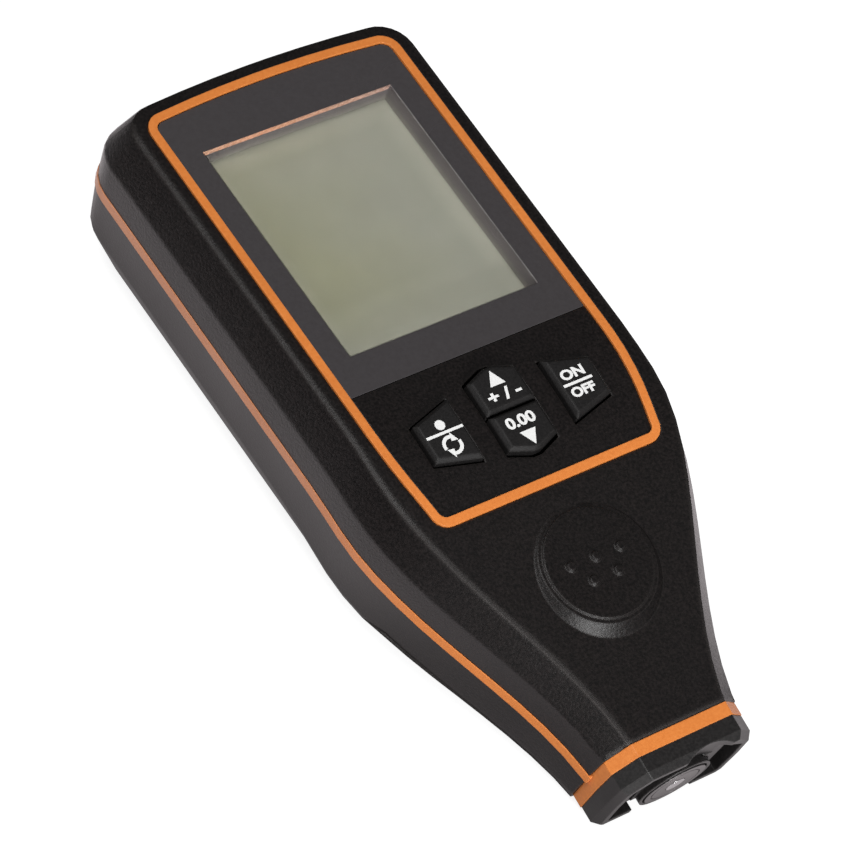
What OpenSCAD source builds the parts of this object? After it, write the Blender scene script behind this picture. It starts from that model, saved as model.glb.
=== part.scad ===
// Handheld coating thickness gauge lying on its back.
// Display end toward +Y, probe nose toward -Y, front face up. Millimetres.

/* [Body] */
// Overall width, measured at the parting line
body_w = 54.6; // [52:0.2:60]
// Overall thickness, back to front face
body_t = 28.5; // [27.8:0.1:31]
// Display centre to the top edge of the front face
head_l = 30.4; // [30:0.1:34]
// Display centre to the neck collar, along the front
neck_l = 83.6; // [81:0.2:90]
// Width of the neck at the parting line
neck_w = 23.6; // [23:0.2:27]
// Depth of the neck at the collar, front to back
neck_t = 15; // [14.8:0.05:16]
// Wall thickness of both shells
wall = 2; // [1.7:0.1:2.2]
// Fall of the lower front face, rise over run
front_slope = 0.285; // [0.26:0.005:0.3]
// Downward tilt of the nose, degrees
nose_tilt = 9; // [8:0.5:10]

/* [Trim] */
// Height of the coloured line at the parting line
stripe_h = 1.7; // [1:0.1:2]
// Width of the coloured collar at the neck
collar_w = 2.05; // [1.4:0.05:2.2]
// Half-width of the coloured ring on the face
ring_hw = 21.85; // [21.4:0.05:22.2]
// Width of the coloured ring line
ring_w = 1.3; // [1.1:0.1:1.8]
// How far the ring stands proud of the face
ring_rise = 0.25; // [0.1:0.05:0.5]

/* [Display] */
// Width of the display window
lcd_w = 33; // [30:0.5:34]
// Height of the display window
lcd_h = 38.6; // [35:0.2:39]
// Lens thickness
lens_t = 1.2; // [1:0.1:1.4]
// Depth of the display glass below the face
lcd_depth = 3.4; // [3.2:0.1:3.8]

/* [Keys] */
// Height of the key tops above the face
key_rise = 1.1; // [0.8:0.1:1.5]
// Key travel
key_travel = 0.6; // [0.4:0.05:0.7]
// Clearance round each key
key_gap = 0.3; // [0.25:0.05:0.4]

/* [Probe] */
// Diameter of the probe face
probe_d = 9.8; // [9:0.1:10]
// Diameter of the fixed sleeve round the probe
sleeve_d = 11.4; // [11.1:0.1:11.6]
// Probe travel against its spring
probe_travel = 1.2; // [0.8:0.1:1.4]
// Length of the nose cap beyond the collar
nose_l = 3.55; // [3.3:0.05:4.4]

/* [Power and fixings] */
// Cell diameter
cell_d = 10.5; // [10:0.1:10.6]
// Cell length
cell_l = 44.5; // [43:0.5:45]
// Case screw shank diameter
screw_d = 2.2; // [2:0.1:2.4]

/* [Hidden] */
$fn = 48;
hw = body_w / 2;
taper_y = -38;
taper_end = -neck_l - 3.4;
bend_y = -28;
bend_len = 24;
hump_y = -46;
hump_len = 4;
ridge_o = -3.2;
ridge_n = -0.4;
cham_o = -0.5;
cham_n = 0.15;
low_n = 0.8;
front_wall = wall + 0.6;
top_ridge = head_l;
top_cham = head_l + 1.8;
top_part = head_l + 1.2;
top_low = head_l + 0.5;
top_back = head_l - 1.6;
end_y = -neck_l - 6;
ring_top = head_l - 1.9;
ring_bot = -47.9;
lens_y = -25.5;
lens_gap = 0.15;
lcd_glass_t = 1.6;
pcb_top = -8.2;
pcb_t = 1.6;
key_y = -36;
key_tilt = atan(front_slope * (bend_y - key_y) / bend_len);
key_flange = 0.8;
switch_h = 2;
stem_low = pcb_top + switch_h + key_travel + 0.35;
holder_l = lcd_h + 4;
boss_top_x = hw - 9.3;
boss_top_y = (holder_l / 2 + head_l - 2.7) / 2;
boss_low_x = hw - 9.3;
boss_low_y = -42.4;
boss_r = 2.9;
screw_seat = -body_t + 8.6;
boss_split = -12.4;
pcb_boss_x = lcd_w / 3 - 1;
pcb_boss_r = 1.9;
pcb_boss_y = holder_l / 2 + pcb_boss_r + 0.3;
pcb_hw = hw - 4.3;
probe_v = -neck_t / 2 - 1.3;
rim_t = 1.7;
rim_bevel = 1.1;
notch_hw = 5.4;
notch_d = 1.7;
hood_hw = 6.4;
hood_low = 0.75;
arch_x = 2.6;
floor_t = 1.25;
cell_x = cell_d / 2 + 0.25;
bay_w = 4 * cell_x;
bay_l = cell_l + 4.4;
bay_y = -1.5;
door_t = 1.8;
door_hw = bay_w / 2 + 1.2;
rail_w = 0.8;
rail_t = 0.8;
slide_gap = 0.3;
door_top = bay_y + bay_l / 2 + 1.2;
door_end = hump_y + 0.4;
bay_floor = -body_t + door_t + 0.3;
cell_z = bay_floor + 0.2 + cell_d / 2;
bay_roof = cell_z + cell_d / 2 + 0.3;
face_z = collar_w + nose_l + 0.25;
head_z = collar_w + floor_t + probe_travel + 0.3;
bevel_v = neck_t / 2 * 0.1;
nose_tip = neck_l + (collar_w + nose_l) * cos(nose_tilt) - bevel_v * sin(nose_tilt);
shift_y = (nose_tip - top_cham) / 2;
rest_y = -60.2;
rest_r = 9;
rest_tip = 4.4;

// Smooth step from 0 to 1
function ease(t) = let (u = min(1, max(0, t))) u * u * (3 - 2 * u);
// Narrowing of the body from shoulders to neck
function taper(y) = (hw - neck_w / 2) * ease((taper_y - y) / (taper_y - taper_end));
// Distance travelled down the bend of the lower body
function bend(y) = y > bend_y ? 0
    : y > bend_y - bend_len ? pow(bend_y - y, 2) / (2 * bend_len)
    : bend_len / 2 + bend_y - bend_len - y;
// 1 over the battery hump at the back, 0 along the neck
function hump(y) = 1 - ease((hump_y - y) / hump_len);
function z_front(y) = -front_slope * bend(y);
// Share of the way from the flat body to the collar
function q(y) = bend(y) / bend(-neck_l);
neck_z = z_front(-neck_l);
function z_cham(y) = -6.1 * (1 - q(y)) + (neck_z - 3.27) * q(y);
function z_part(y) = -11.2 * (1 - q(y)) + (neck_z - 8.25) * q(y);
function dip(y) = 1.2 * ease((-22 - y) / 18) * hump(y);
function z_low(y) = (8.2 - body_t) * (1 - q(y)) + (neck_z - neck_t + 1.05) * q(y) - dip(y);
function z_neck_back(y) = z_low(y) - 1.2;
function z_back(y) = -body_t * hump(y) + z_neck_back(y) * (1 - hump(y));
function o_back(y) = -5.5 * hump(y) - 1 * (1 - hump(y));

// Right half of a plan outline: crowned top edge, corner arc, tapering side
function side_y() = concat([18, -20, -26], [for (i = [0:15]) -30 - 4 * i * (neck_l + 8.4) / 92]);
function top_pts(w, yt, rc, sag) = concat(
    [for (f = [0.1, 0.4, 0.7]) [(w - rc) * f, yt - sag * pow((w - rc) * f / w, 2)]],
    [for (a = [90:-15:0]) [w - rc + rc * cos(a), yt - sag * pow((w - rc) / w, 2) - rc + rc * sin(a)]]);
// o is its offset along the body, and n what is added to that on the way to the collar
function outline(o, yt, rc, n = 0) = concat(
    top_pts(hw + o, yt, rc, 1.3),
    [for (y = side_y()) [hw + o + n * q(y) - taper(y), y]]);
// Raise an outline to a level: 0 front, 1 chamfer, 2 parting line, 3 lower wall, 4 back
function z_at(k, y) = k == 0 ? z_front(y) : k == 1 ? z_cham(y) : k == 2 ? z_part(y) : k == 3 ? z_low(y) : z_back(y);
function level(pts, k, dz) = [for (p = pts) [p[0], p[1], z_at(k, p[1]) + dz]];
function both(r) = concat(r, [for (i = [len(r) - 1:-1:0]) [-r[i][0], r[i][1], r[i][2]]]);
// Outline whose sides also follow the hump at the back
function back_outline(inset, yt, rc) = [for (p = outline(0, yt, rc))
    let (o = o_back(p[1]) - inset) [p[0] + o * min(1, p[0] / (hw - 8)), p[1]]];

// Solid through a stack of closed loops, listed from the front to the back
module loft(rights) {
    loops = [for (r = rights) both(r)];
    m = len(loops[0]);
    n = len(loops);
    half = m / 2;
    pts = [for (l = loops) each l];
    caps = [for (i = [0:half - 2]) each [
        [i, i + 1, m - 2 - i],
        [i, m - 2 - i, m - 1 - i],
        [(n - 1) * m + i, (n - 1) * m + m - 2 - i, (n - 1) * m + i + 1],
        [(n - 1) * m + i, (n - 1) * m + m - 1 - i, (n - 1) * m + m - 2 - i]]];
    sides = [for (k = [0:n - 2]) for (j = [0:m - 1]) let (q = (j + 1) % m) each [
        [k * m + q, k * m + j, (k + 1) * m + j],
        [k * m + q, (k + 1) * m + j, (k + 1) * m + q]]];
    polyhedron(points = pts, faces = concat(caps, sides));
}

// Local frame at the collar: outward along local -Y, front up
module at_neck() {
    translate([0, -neck_l, z_front(-neck_l)])
        rotate([nose_tilt, 0, 0])
            children();
}
function from_neck(x, y, v) = [x, -neck_l + y * cos(nose_tilt) - v * sin(nose_tilt),
    z_front(-neck_l) + y * sin(nose_tilt) + v * cos(nose_tilt)];
// Local frame of the keys, tilted with the face
module at_keys() {
    translate([0, key_y, z_front(key_y)])
        rotate([key_tilt, 0, 0])
            children();
}
// Whole part with its back on z = 0
module place() {
    translate([0, shift_y, body_t])
        children();
}
// Everything beyond the collar plane, moved outward by d
module beyond(d) {
    at_neck()
        translate([-60, -100 - d, -70])
            cube([120, 100, 120]);
}
// Section of the neck at the collar, right half then left half
function neck_half(o) = [
    [neck_w / 2 + ridge_o + ridge_n + o * 0.7, o],
    [neck_w / 2 + cham_o + cham_n + o, -3.2 + o * 0.4],
    [neck_w / 2 + o, -8.1],
    [neck_w / 2 - 1.1 + low_n + o, 0.7 - neck_t - o * 0.9],
    [neck_w / 2 - 1.1 + o * 0.7, -neck_t - o]];
function neck_pts(o) = concat(neck_half(o), [for (i = [4:-1:0]) [-neck_half(o)[i][0], neck_half(o)[i][1]]]);
module neck_prism(o, y0, len) {
    at_neck()
        translate([0, y0, 0])
            rotate([90, 0, 0])
                linear_extrude(len)
                    polygon(neck_pts(o));
}
module on_probe_axis() {
    at_neck()
        translate([0, 0, probe_v])
            rotate([90, 0, 0])
                children();
}
module tube(r1, r0, h) {
    difference() {
        cylinder(r = r1, h = h);
        translate([0, 0, -1])
            cylinder(r = r0, h = h + 2);
    }
}
module box(c, s) {
    translate(c - s / 2)
        cube(s);
}
module rod(p, q, r) {
    d = q - p;
    translate(p)
        rotate([0, acos(d[2] / norm(d)), atan2(d[1], d[0])])
            cylinder(r = r, h = norm(d));
}
module each_boss() {
    for (s = [-1, 1]) {
        translate([s * boss_top_x, boss_top_y, 0])
            children();
        translate([s * boss_low_x, boss_low_y, 0])
            children();
    }
}
module each_pcb_boss() {
    for (s = [-1, 1])
        for (y = [-pcb_boss_y, pcb_boss_y])
            translate([s * pcb_boss_x, y, 0])
                children();
}

// Ring on the face: right half of its outline, inset by d
function ring_side(y) = ring_hw - 2.1 * pow(max(0, (-30 - y) / 16), 2);
function ring_right(d) = concat(
    [for (f = [0.1, 0.4, 0.7]) [(ring_hw - 3) * f, ring_top - d - 1.2 * pow((ring_hw - 3) * f / ring_hw, 2)]],
    [for (a = [90:-15:0]) [ring_hw - 3 + (3 - d) * cos(a), ring_top - 3.9 + (3 - d) * sin(a)]],
    [for (y = [10, -10, -28, -31, -34, -37, -40, -43]) [ring_side(y) - d, y]],
    [for (a = [0:-18:-90]) [ring_side(-45) - 2.6 + (2.6 - d) * cos(a), ring_bot + 2.6 + (2.6 - d) * sin(a)]]);
module ring_plate(d, hi, lo) {
    loft([level(ring_right(d), 0, hi), level(ring_right(d), 0, lo)]);
}
function mirror_pts(r) = concat(r, [for (i = [len(r) - 1:-1:0]) [-r[i][0], r[i][1]]]);
module lens_shape(d) {
    intersection() {
        polygon(mirror_pts([for (p = ring_right(ring_w + d)) [p[0], p[1]]]));
        translate([-40, lens_y + d])
            square([80, 80]);
    }
}

// Key outlines in the key frame
side_key = [[8.2, 4.9], [15.3, 2.9], [15.3, -3.3], [8.2, -5.1]];
key_split = 0.18;
mid_key = [[0.7, 7], [4.2, 5.7], [4.2, key_split], [-4.2, key_split], [-4.2, 5.7], [-0.7, 7]];
mid_hole = [[0.7, 7], [4.2, 5.7], [4.2, -5.7], [0.7, -7], [-0.7, -7], [-4.2, -5.7], [-4.2, 5.7], [-0.7, 7]];
module key_solid(pts, c, f) {
    at_keys() {
        translate([0, 0, -front_wall - 0.6])
            linear_extrude(front_wall + 0.6 + key_rise - 0.55)
                polygon(pts);
        translate([c[0], c[1], key_rise - 0.55])
            linear_extrude(0.55, scale = 0.86)
                translate([-c[0], -c[1]])
                    polygon(pts);
        translate([f[0], f[1], -front_wall - 0.6 - key_flange])
            linear_extrude(key_flange)
                scale([1.18, 1.12])
                    translate([-f[0], -f[1]])
                        polygon(pts);
    }
    stem_y = key_y + c[1];
    translate([c[0], stem_y, stem_low])
        cylinder(r = 1.3, h = z_front(key_y) + c[1] * tan(key_tilt) - front_wall - 0.9 - stem_low);
}
module key_hole(pts, c, k) {
    at_keys()
        translate([c[0], c[1], -8])
            linear_extrude(12)
                scale(k)
                    translate([-c[0], -c[1]])
                        polygon(pts);
}
side_c = [11.7, -0.1];
mid_c = [0, 3.5];
function flip(pts, sx, sy) = [for (p = pts) [p[0] * sx, p[1] * sy]];

module front_outer() {
    loft([
        level(outline(ridge_o - 0.4, top_ridge - 0.4, 4.6, ridge_n), 0, 0),
        level(outline(ridge_o + 0.05, top_ridge, 5, ridge_n), 0, -0.2),
        level(outline(ridge_o + 0.32, top_ridge + 0.2, 5.2, ridge_n), 0, -0.7),
        level(outline(cham_o - 0.15, top_cham - 0.1, 6, cham_n), 1, 0.35),
        level(outline(cham_o, top_cham, 6.1, cham_n), 1, -0.3),
        level(outline(0, top_part, 6.6), 2, stripe_h / 2)]);
}
module front_inner() {
    loft([
        level(outline(ridge_o - wall * 0.8, top_ridge - wall, 3.6, ridge_n), 0, -front_wall),
        level(outline(cham_o - wall, top_cham - wall, 5, cham_n), 1, -0.3),
        level(outline(-wall, top_part - wall, 6), 2, -2)]);
}
module rear_outer() {
    loft([
        level(outline(0, top_part, 6.6), 2, -stripe_h / 2),
        level(outline(-0.75, top_low + 0.1, 6.4, low_n), 3, 0.5),
        level(outline(-1.1, top_low - 0.2, 6.3, low_n), 3, -0.5),
        level(back_outline(-0.5, top_back, 6), 4, 0.5),
        level(back_outline(0.2, top_back - 0.5, 5.6), 4, 0)]);
}
module rear_inner() {
    loft([
        level(outline(-wall, top_part - wall, 6), 2, 2),
        level(outline(-0.9 - wall, top_low - wall, 5, low_n), 3, wall),
        level(back_outline(wall * 0.8, top_back - 0.8 - wall, 4.4), 4, wall)]);
}
// Thumb rest low on the front: a stepped disc tilted less than the face, flush at its upper edge
module thumb_rest() {
    translate([0, rest_y, z_front(rest_y) + rest_r * tan(rest_tip)])
        rotate([atan(front_slope) - rest_tip, 0, 0]) {
            translate([0, 0, -1.9])
                cylinder(r1 = rest_r + 2.1, r2 = rest_r, h = 1.9);
            translate([0, 0, -0.1])
                cylinder(r1 = rest_r - 0.5, r2 = rest_r - 0.75, h = 0.35);
            for (c = [[-4.3, 0.9], [0, 0.9], [4.3, 0.9], [-2.15, -2.1], [2.15, -2.1]])
                translate([c[0], c[1], 0.15])
                    cylinder(r1 = 0.95, r2 = 0.6, h = 0.45);
        }
}
module front_shell() {
    color("#232021")
    place()
    difference() {
        union() {
            difference() {
                front_outer();
                front_inner();
            }
            thumb_rest();
            each_boss()
                translate([0, 0, boss_split])
                    cylinder(r = boss_r, h = -boss_split - 2.2);
            each_pcb_boss()
                translate([0, 0, pcb_top])
                    cylinder(r = pcb_boss_r, h = -pcb_top - 1.4);
        }
        beyond(0);
        difference() {
            ring_plate(-0.1, 3, -0.95);
            ring_plate(ring_w + 0.1, 4, -2);
        }
        translate([0, 0, -lens_t - 0.05])
            linear_extrude(5)
                lens_shape(0);
        translate([0, 0, -5])
            linear_extrude(10)
                square([lcd_w + 1.6, lcd_h + 1.6], center = true);
        key_hole(mid_hole, [0, 0], 1 + key_gap / 4.2);
        key_hole(side_key, side_c, 1 + key_gap / 3.5);
        key_hole(flip(side_key, -1, 1), [-side_c[0], side_c[1]], 1 + key_gap / 3.5);
        each_boss()
            translate([0, 0, boss_split - 1])
                cylinder(d = screw_d + 0.1, h = 8.4);
        each_pcb_boss()
            translate([0, 0, pcb_top - 1])
                cylinder(d = 1.7, h = 5.4);
    }
}
module rear_shell() {
    color("#2a2728")
    place()
    difference() {
        union() {
            difference() {
                rear_outer();
                rear_inner();
            }
            each_boss()
                translate([0, 0, -body_t + 1])
                    cylinder(r = 3.3, h = body_t - 1.3 + boss_split);
            box([0, bay_y, (bay_roof + 2.2 - body_t) / 2], [bay_w + 2.6, bay_l + 2.6, bay_roof + 0.2 + body_t]);
            translate([-door_hw - 2.4, hump_y - 1.2, -body_t + wall - 0.5])
                cube([2 * door_hw + 4.8, bay_y - bay_l / 2 - hump_y + 1.6, 2]);
            at_neck()
                translate([-neck_w / 2 + 2.4, 8.5, 0.55 - neck_t])
                    cube([neck_w - 4.8, 1.6, neck_t - 4.75]);
        }
        beyond(0);
        box([0, bay_y, (bay_roof - body_t) / 2 - 2], [bay_w, bay_l, bay_roof + body_t + 4]);
        translate([-door_hw - slide_gap, door_end - 12, -body_t - 2])
            cube([2 * (door_hw + slide_gap), door_top + slide_gap - door_end + 12, door_t + 2.3]);
        translate([-door_hw - rail_w - slide_gap, door_end - 12, -body_t + door_t - rail_t - slide_gap])
            cube([2 * (door_hw + rail_w + slide_gap), door_top + slide_gap - door_end + 12, rail_t + 0.6]);
        each_boss() {
            translate([0, 0, -body_t - 2])
                cylinder(d = screw_d + 0.5, h = 30);
            translate([0, 0, -body_t - 2])
                cylinder(d = 5.2, h = screw_seat + body_t + 2);
        }
        on_probe_axis()
            translate([0, 0, -20])
                cylinder(r = 1.9, h = 20);
    }
}
module trim_frame() {
    color("#e0843c")
    place() {
        difference() {
            loft([level(outline(0.12, top_part + 0.12, 6.7), 2, stripe_h / 2 - 0.02),
                level(outline(0.12, top_part + 0.12, 6.7), 2, 0.02 - stripe_h / 2)]);
            loft([level(outline(-wall, top_part - wall, 6), 2, 2), level(outline(-wall, top_part - wall, 6), 2, -2)]);
            beyond(0.4);
        }
        difference() {
            neck_prism(0.12, 0, collar_w);
            neck_prism(-1.9, 1, collar_w + 2);
        }
    }
}
module face_ring() {
    color("#e6873c")
    place()
    difference() {
        ring_plate(0, ring_rise, -0.9);
        ring_plate(ring_w, 2, -3);
    }
}
module lens() {
    color("#4a474a")
    place()
    translate([0, 0, -lens_t])
        linear_extrude(lens_t)
            lens_shape(lens_gap);
}
module lcd_glass() {
    color("#91937f")
    place()
    box([0, 0, -lcd_depth - lcd_glass_t / 2], [lcd_w + 3, lcd_h + 2.6, lcd_glass_t]);
}
module lcd_holder() {
    color("#d8d6cf")
    place() {
        holder_h = -lcd_depth - lcd_glass_t - pcb_top;
        difference() {
            box([0, 0, pcb_top + holder_h / 2], [lcd_w + 5, holder_l, holder_h]);
            box([0, 0, pcb_top + holder_h / 2 + 1.4], [lcd_w - 2, lcd_h - 8, holder_h]);
            for (s = [-1, 1])
                box([0, s * (lcd_h / 2 - 1), pcb_top + holder_h / 2], [lcd_w - 1, 2.4, holder_h + 2]);
        }
    }
}
module zebra_strips() {
    color("#c9b8a6")
    place()
    for (s = [-1, 1])
        box([0, s * (lcd_h / 2 - 1), (pcb_top - lcd_depth - lcd_glass_t) / 2],
            [lcd_w - 1.4, 2, -lcd_depth - lcd_glass_t - pcb_top]);
}
module main_pcb() {
    color("#2f5d3a")
    place()
    difference() {
        translate([0, 0, pcb_top - pcb_t])
            linear_extrude(pcb_t)
                polygon(mirror_pts([[pcb_boss_x + 1.9, pcb_boss_y + 2], [pcb_boss_x + 1.9, 21.2], [pcb_hw, 17],
                    [pcb_hw, -36], [13.6, -38.6], [13.6, -44]]));
        each_pcb_boss()
            translate([0, 0, pcb_top - 5])
                cylinder(d = 1.9, h = 8);
    }
}
key_centres = [[-side_c[0], side_c[1]], [side_c[0], side_c[1]], [0, 3.5], [0, -3.5]];
module tact_switches() {
    color("#b9b9bd")
    place()
    for (c = key_centres)
        translate([c[0], key_y + c[1], pcb_top]) {
            box([0, 0, (switch_h - 0.5) / 2], [4.4, 4.4, switch_h - 0.5]);
            cylinder(r = 1.1, h = switch_h);
        }
}
module key_record() {
    color("#2b2829")
    place()
    key_solid(flip(side_key, -1, 1), [-side_c[0], side_c[1]], [-side_c[0], side_c[1]]);
}
module key_set() {
    color("#2b2829")
    place()
    key_solid(side_key, side_c, side_c);
}
module key_up() {
    color("#2b2829")
    place()
    key_solid(mid_key, mid_c, [0, key_split]);
}
module key_down() {
    color("#2b2829")
    place()
    key_solid(flip(mid_key, 1, -1), [0, -mid_c[1]], [0, -key_split]);
}
module mcu_chip() {
    color("#1b1b1d")
    place()
    box([-9, -32, pcb_top - pcb_t - 0.7], [9, 9, 1.4]);
}
module analog_chip() {
    color("#1f1f22")
    place()
    box([4, -36, pcb_top - pcb_t - 0.6], [5, 4, 1.2]);
}
module buzzer() {
    color("#222224")
    place()
    translate([pcb_hw - 7.4, -32.4, pcb_top - pcb_t - 2.6])
        cylinder(r = 4, h = 2.6);
}
module probe_plug() {
    color("#e6e2d8")
    place()
    box([0, -41.4, pcb_top - pcb_t - 1.8], [7, 4.4, 3.6]);
}
module pcb_screws() {
    color("#a9abb0")
    place()
    each_pcb_boss() {
        translate([0, 0, pcb_top - pcb_t - 1])
            cylinder(d = 3.2, h = 1);
        translate([0, 0, pcb_top - pcb_t])
            cylinder(d = 1.6, h = 5.2);
    }
}
module case_screws() {
    color("#8f9196")
    place()
    each_boss()
        difference() {
            union() {
                translate([0, 0, screw_seat - 1.6])
                    cylinder(d = 4.4, h = 1.6);
                translate([0, 0, screw_seat])
                    cylinder(d = screw_d, h = boss_split + 6.8 - screw_seat);
            }
            for (a = [0, 90])
                rotate(a)
                    box([0, 0, screw_seat - 1.6], [2.6, 0.6, 1.6]);
        }
}
module battery_door() {
    color("#262324")
    place()
    difference() {
        union() {
            translate([-door_hw, door_end, -body_t])
                cube([2 * door_hw, door_top - door_end, door_t]);
            translate([-door_hw - rail_w, door_end + 4, -body_t + door_t - rail_t])
                cube([2 * (door_hw + rail_w), door_top - door_end - 4, rail_t]);
        }
        for (i = [0:4])
            translate([-7, door_end + 5 + i * 1.8, -body_t - 0.5])
                cube([14, 0.9, 1]);
    }
}
module battery_cells() {
    color("#c8a35a")
    place()
    for (s = [-1, 1])
        translate([s * cell_x, bay_y, cell_z])
            rotate([s * 90, 0, 0]) {
                translate([0, 0, -cell_l / 2])
                    cylinder(d = cell_d, h = cell_l - 1);
                translate([0, 0, cell_l / 2 - 1])
                    cylinder(d = 3.8, h = 1);
            }
}
module contact_springs() {
    color("#d0d2d6")
    place()
    for (s = [-1, 1])
        translate([s * cell_x, bay_y + s * bay_l / 2, cell_z])
            rotate([s * 90, 0, 0]) {
                translate([-4.4, -4.4, 0.02])
                    cube([8.8, 8.8, 0.4]);
                for (i = [0:2])
                    translate([0, 0, 0.66 + i * 0.55])
                        rotate_extrude()
                            translate([3.2 - i * 0.35, 0])
                                circle(r = 0.36, $fn = 20);
            }
}
module contact_plates() {
    color("#cfd1d5")
    place()
    for (s = [-1, 1])
        translate([s * cell_x, bay_y - s * bay_l / 2, cell_z])
            rotate([-s * 90, 0, 0]) {
                translate([-4.4, -4.4, 0.02])
                    cube([8.8, 8.8, 0.5]);
                cylinder(r = 2.2, h = 2.1);
            }
}
// Raised face over the probe, between the two corner pockets of the nose
module nose_hood() {
    on_probe_axis()
        difference() {
            translate([-hood_hw, -2, collar_w])
                cube([2 * hood_hw, 2 - probe_v, nose_l - hood_low]);
            cylinder(d = sleeve_d + 0.2, h = 12);
        }
}
module nose_cap() {
    color("#1f1c1d")
    place()
    difference() {
        union() {
            neck_prism(0, -collar_w, nose_l - rim_bevel);
            at_neck()
                translate([0, -collar_w - nose_l + rim_bevel, -neck_t / 2])
                    rotate([90, 0, 0])
                        linear_extrude(rim_bevel, scale = [0.935, 0.9], slices = 1)
                            translate([0, neck_t / 2])
                                polygon(neck_pts(0));
            difference() {
                neck_prism(-3, 4, 4 + collar_w);
                neck_prism(-4.1, 5, 6 + collar_w);
            }
        }
        difference() {
            neck_prism(-rim_t, -collar_w - floor_t, 8);
            nose_hood();
        }
        on_probe_axis()
            translate([0, 0, -8])
                cylinder(d = probe_d + 0.9, h = 8 + collar_w);
        on_probe_axis()
            cylinder(d = probe_d - 2.6, h = 12);
        on_probe_axis()
            translate([0, 0, collar_w + floor_t])
                cylinder(d = sleeve_d + 0.2, h = 12);
        on_probe_axis()
            translate([-notch_hw, -neck_t - 2 - probe_v, collar_w + nose_l - notch_d])
                cube([2 * notch_hw, neck_t + 2 + probe_v, notch_d + 2]);
        at_neck()
            translate([arch_x, -collar_w - nose_l - 3.5, -4])
                scale([1.35, 1, 1])
                    cylinder(r = 4.6, h = 10);
    }
}
module probe_sleeve() {
    color("#151314")
    place()
    on_probe_axis()
        translate([0, 0, collar_w + floor_t])
            tube(sleeve_d / 2, probe_d / 2 + 0.3, nose_l - floor_t + 0.05);
}
module probe_head() {
    color("#1a1a1c")
    place()
    on_probe_axis()
        difference() {
            union() {
                translate([0, 0, head_z])
                    cylinder(d = probe_d, h = face_z - 0.4 - head_z);
                translate([0, 0, -0.9])
                    cylinder(d = probe_d - 3.2, h = head_z + 1);
                translate([0, 0, collar_w - 1.3])
                    cylinder(d = probe_d - 2.1, h = 1);
                translate([0, 0, -10.5])
                    cylinder(r = 1.4, h = 10);
            }
            translate([0, 0, 0.4])
                cylinder(r = coil_r + 0.1, h = 12);
        }
}
coil_r = 2.7;
module probe_coil() {
    color("#b5713a")
    place()
    on_probe_axis()
        translate([0, 0, 0.4])
            tube(coil_r, 1.6, face_z - 1.4);
}
module probe_core() {
    color("#8e8f94")
    place()
    on_probe_axis()
        translate([0, 0, 0.4])
            cylinder(r = 1.5, h = face_z - 0.4);
}
module probe_face() {
    color("#b8b8bb")
    place()
    on_probe_axis()
        translate([0, 0, face_z - 0.4])
            difference() {
                tube(probe_d / 2, 1.6, 0.35);
                translate([0, 0, 0.2])
                    tube(3.95, 3.75, 1);
            }
}
module probe_spring() {
    color("#c4c6cb")
    place()
    on_probe_axis()
        for (i = [0:7])
            translate([0, 0, -8.09 + i * (6.79 - probe_travel - 0.3) / 7])
                rotate_extrude()
                    translate([2.6, 0])
                        circle(r = 0.4, $fn = 20);
}
module probe_leads() {
    color("#a03028")
    place()
    for (s = [-1, 1])
        rod(from_neck(s * 1.6, 10.4, -5.2), [s * 1.6, -43.7, pcb_top - pcb_t - 1.8], 0.5);
}

front_shell();
rear_shell();
trim_frame();
face_ring();
lens();
lcd_glass();
lcd_holder();
zebra_strips();
main_pcb();
tact_switches();
key_record();
key_set();
key_up();
key_down();
mcu_chip();
analog_chip();
buzzer();
probe_plug();
pcb_screws();
case_screws();
battery_door();
battery_cells();
contact_springs();
contact_plates();
nose_cap();
probe_sleeve();
probe_head();
probe_coil();
probe_core();
probe_face();
probe_spring();
probe_leads();
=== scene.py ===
import math

import bmesh
import bpy
from mathutils import Matrix, Vector


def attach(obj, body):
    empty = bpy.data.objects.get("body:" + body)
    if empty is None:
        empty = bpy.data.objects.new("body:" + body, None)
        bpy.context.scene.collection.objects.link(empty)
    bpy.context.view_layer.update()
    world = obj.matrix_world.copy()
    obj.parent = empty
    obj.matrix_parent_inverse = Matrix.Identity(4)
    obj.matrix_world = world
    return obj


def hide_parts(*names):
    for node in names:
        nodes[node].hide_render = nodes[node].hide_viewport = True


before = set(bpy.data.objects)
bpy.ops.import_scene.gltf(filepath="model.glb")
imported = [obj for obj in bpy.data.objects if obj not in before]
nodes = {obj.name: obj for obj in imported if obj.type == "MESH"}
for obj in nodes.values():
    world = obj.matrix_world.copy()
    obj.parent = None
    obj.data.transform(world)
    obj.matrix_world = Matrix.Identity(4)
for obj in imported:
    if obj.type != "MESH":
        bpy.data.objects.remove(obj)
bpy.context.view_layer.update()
MM = 0.001

# Sizes shared with the solids, in millimetres from the middle of the display window
SHIFT_Y = 28.4069
BODY_T = 28.5
HEAD_L = 30.4
RING_HW = 21.85
RING_W = 1.3
RING_R = 3.0
RING_CROWN = 1.2
RING_TOP = HEAD_L - 1.9
RING_CORNER_Y = RING_TOP - 3.9
RING_BOT = -47.9
RING_TAPER_Y = -30.0
RING_TAPER_LEN = 16.0
RING_TAPER_IN = 2.1
LENS_Y = -25.5
LENS_GAP = 0.15
LENS_T = 1.2
LCD_W = 33.0
LCD_H = 38.6
LCD_DEPTH = 3.4
KEY_Y = -36.0
KEY_RISE = 1.1
FRONT_SLOPE = 0.285
BEND_Y = -28.0
BEND_LEN = 24.0
REST_Y = -60.2
CELL_Y = -1.5
KEY_TILT = math.atan(FRONT_SLOPE * (BEND_Y - KEY_Y) / BEND_LEN)

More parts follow.
